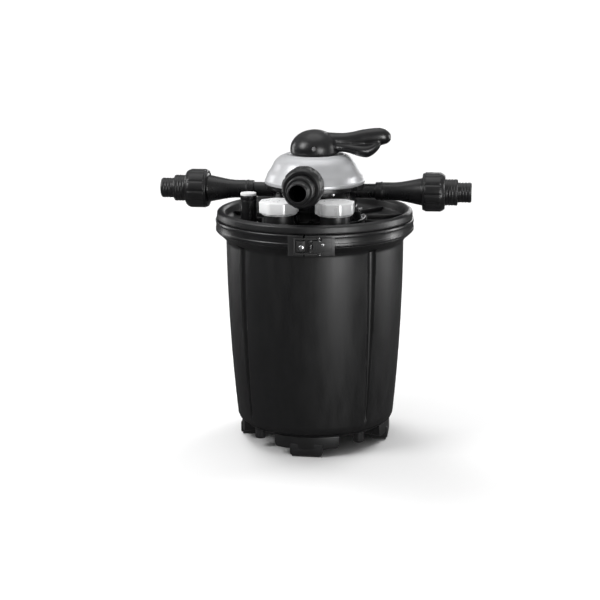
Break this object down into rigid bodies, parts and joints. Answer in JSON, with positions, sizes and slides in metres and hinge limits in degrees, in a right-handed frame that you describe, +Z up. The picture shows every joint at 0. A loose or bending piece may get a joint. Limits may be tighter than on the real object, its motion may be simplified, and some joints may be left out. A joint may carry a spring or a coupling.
{
  "type": "pressurized pond filter",
  "caption": "Black pressure tank with a clamped lid, a silver turn-and-press valve head, stepped hose unions, screw caps and an indicator.",
  "frame": {"origin": "on the tank's axis, in the plane that the feet stand on", "axes": "+Z up along the tank; -Y towards the front port and the latch; +X towards the right hose tail"},
  "size_m": [0.596, 0.428, 0.6063],
  "materials": {
    "tank_plastic": "satin",
    "head_plastic": "gloss",
    "band": "satin",
    "latch": "satin",
    "cover_plastic": "satin",
    "cap_plastic": "satin",
    "handle_plastic": "gloss",
    "nut_plastic": "satin",
    "inner_plastic": "matte",
    "button_plastic": "satin",
    "rubber": "matte",
    "foam": "matte",
    "steel": "brushed"
  },
  "bodies": {
    "filter": {"bottom_grid": "inner_plastic", "cap_necks": "tank_plastic", "clamp_band": "band", "cover_screws": "steel", "cover_seal": "rubber", "flow_spreader": "inner_plastic", "foam_lower": "foam", "foam_middle": "foam", "foam_upper": "foam", "foot_pads": "rubber", "front_union_seal": "rubber", "head_screws": "steel", "indicator_housing": "head_plastic", "indicator_spring": "steel", "latch_bracket": "latch", "latch_pin": "steel", "latch_strike": "latch", "left_union_seal": "rubber", "lid": "tank_plastic", "lid_rim": "tank_plastic", "lid_seal": "rubber", "right_union_seal": "rubber", "riser_seal": "rubber", "riser_tube": "inner_plastic", "rotor_gasket": "rubber", "spindle_seal": "rubber", "strike_screw": "steel", "tank": "tank_plastic", "tank_feet": "tank_plastic", "tank_rim": "tank_plastic", "top_grid": "inner_plastic", "valve_body": "head_plastic", "valve_cover": "cover_plastic"},
    "turn_carrier": {"slip_washer": "inner_plastic", "valve_spring": "steel"},
    "rotor": {"rotor": "inner_plastic", "spindle": "steel", "handle_pin": "steel"},
    "handle": {"handle": "handle_plastic"},
    "latch_lever": {"latch_lever": "latch", "lever_rivet": "steel", "link_pin": "steel"},
    "latch_link": {"latch_link": "latch"},
    "indicator_button": {"indicator_button": "button_plastic", "indicator_seal": "rubber"},
    "left_tail": {"left_hose_tail": "nut_plastic"},
    "left_nut": {"left_union_nut": "nut_plastic"},
    "right_tail": {"right_hose_tail": "nut_plastic"},
    "right_nut": {"right_union_nut": "nut_plastic"},
    "front_tail": {"front_hose_tail": "nut_plastic"},
    "front_nut": {"front_union_nut": "nut_plastic"},
    "left_cap_washer": {"left_cap_seal": "rubber"},
    "left_cap": {"left_cap": "cap_plastic"},
    "right_cap_washer": {"right_cap_seal": "rubber"},
    "right_cap": {"right_cap": "cap_plastic"}
  },
  "joints": [
    {"name": "valve_turn", "type": "hinge", "parent": "filter", "child": "turn_carrier", "pos_m": [0, 0, 0.556], "axis": [0, 0, 1], "continuous": true},
    {"name": "rotor_lift", "type": "slide", "parent": "turn_carrier", "child": "rotor", "axis": [0, 0, 1], "range_m": [0, 0.0031], "deforming": ["valve_spring"]},
    {"name": "handle_press", "type": "hinge", "parent": "rotor", "child": "handle", "pos_m": [0, 0, 0.572], "axis": [-0.1045, 0.9945, 0], "range_deg": [0, 6], "stiffness_Nm_per_rad": 25},
    {"name": "latch_open", "type": "hinge", "parent": "filter", "child": "latch_lever", "pos_m": [0.01803, -0.19617, 0.418], "axis": [0, 0, -1], "range_deg": [0, 110]},
    {"name": "link_swing", "type": "hinge", "parent": "latch_lever", "child": "latch_link", "pos_m": [0.03201, -0.19539, 0.418], "axis": [0, 0, 1], "range_deg": [0, 111]},
    {"name": "indicator_rise", "type": "slide", "parent": "filter", "child": "indicator_button", "axis": [0, 0, 1], "range_m": [0, 0.006], "stiffness_N_per_m": 300, "deforming": ["indicator_spring"]},
    {"name": "left_union_slide", "type": "slide", "parent": "filter", "child": "left_tail", "axis": [-1, 0, 0], "range_m": [0, 0.0081]},
    {"name": "left_union_turn", "type": "hinge", "parent": "left_tail", "child": "left_nut", "pos_m": [-0.227, 0, 0.488], "axis": [-1, 0, 0], "range_deg": [0, 720]},
    {"name": "right_union_slide", "type": "slide", "parent": "filter", "child": "right_tail", "axis": [1, 0, 0], "range_m": [0, 0.0081]},
    {"name": "right_union_turn", "type": "hinge", "parent": "right_tail", "child": "right_nut", "pos_m": [0.227, 0, 0.488], "axis": [1, 0, 0], "range_deg": [0, 720]},
    {"name": "front_union_slide", "type": "slide", "parent": "filter", "child": "front_tail", "axis": [0, -1, 0], "range_m": [0, 0.0081]},
    {"name": "front_union_turn", "type": "hinge", "parent": "front_tail", "child": "front_nut", "pos_m": [0, -0.167, 0.519], "axis": [0, -1, 0], "range_deg": [0, 720]},
    {"name": "left_cap_slide", "type": "slide", "parent": "filter", "child": "left_cap_washer", "axis": [0, 0, 1], "range_m": [0, 0.0081]},
    {"name": "left_cap_turn", "type": "hinge", "parent": "left_cap_washer", "child": "left_cap", "pos_m": [-0.0515, -0.116, 0.472], "axis": [0, 0, 1], "range_deg": [0, 720]},
    {"name": "right_cap_slide", "type": "slide", "parent": "filter", "child": "right_cap_washer", "axis": [0, 0, 1], "range_m": [0, 0.0081]},
    {"name": "right_cap_turn", "type": "hinge", "parent": "right_cap_washer", "child": "right_cap", "pos_m": [0.0515, -0.116, 0.472], "axis": [0, 0, 1], "range_deg": [0, 720]}
  ],
  "couplings": [
    {"joint": "rotor_lift", "follows": "handle_press", "m_per_rad": 0.028648},
    {"joint": "link_swing", "follows": "latch_open", "ratio": 1},
    {"joint": "left_union_slide", "follows": "left_union_turn", "m_per_rad": 0.00063662},
    {"joint": "right_union_slide", "follows": "right_union_turn", "m_per_rad": 0.00063662},
    {"joint": "front_union_slide", "follows": "front_union_turn", "m_per_rad": 0.00063662},
    {"joint": "left_cap_slide", "follows": "left_cap_turn", "m_per_rad": 0.00063662},
    {"joint": "right_cap_slide", "follows": "right_cap_turn", "m_per_rad": 0.00063662}
  ]
}
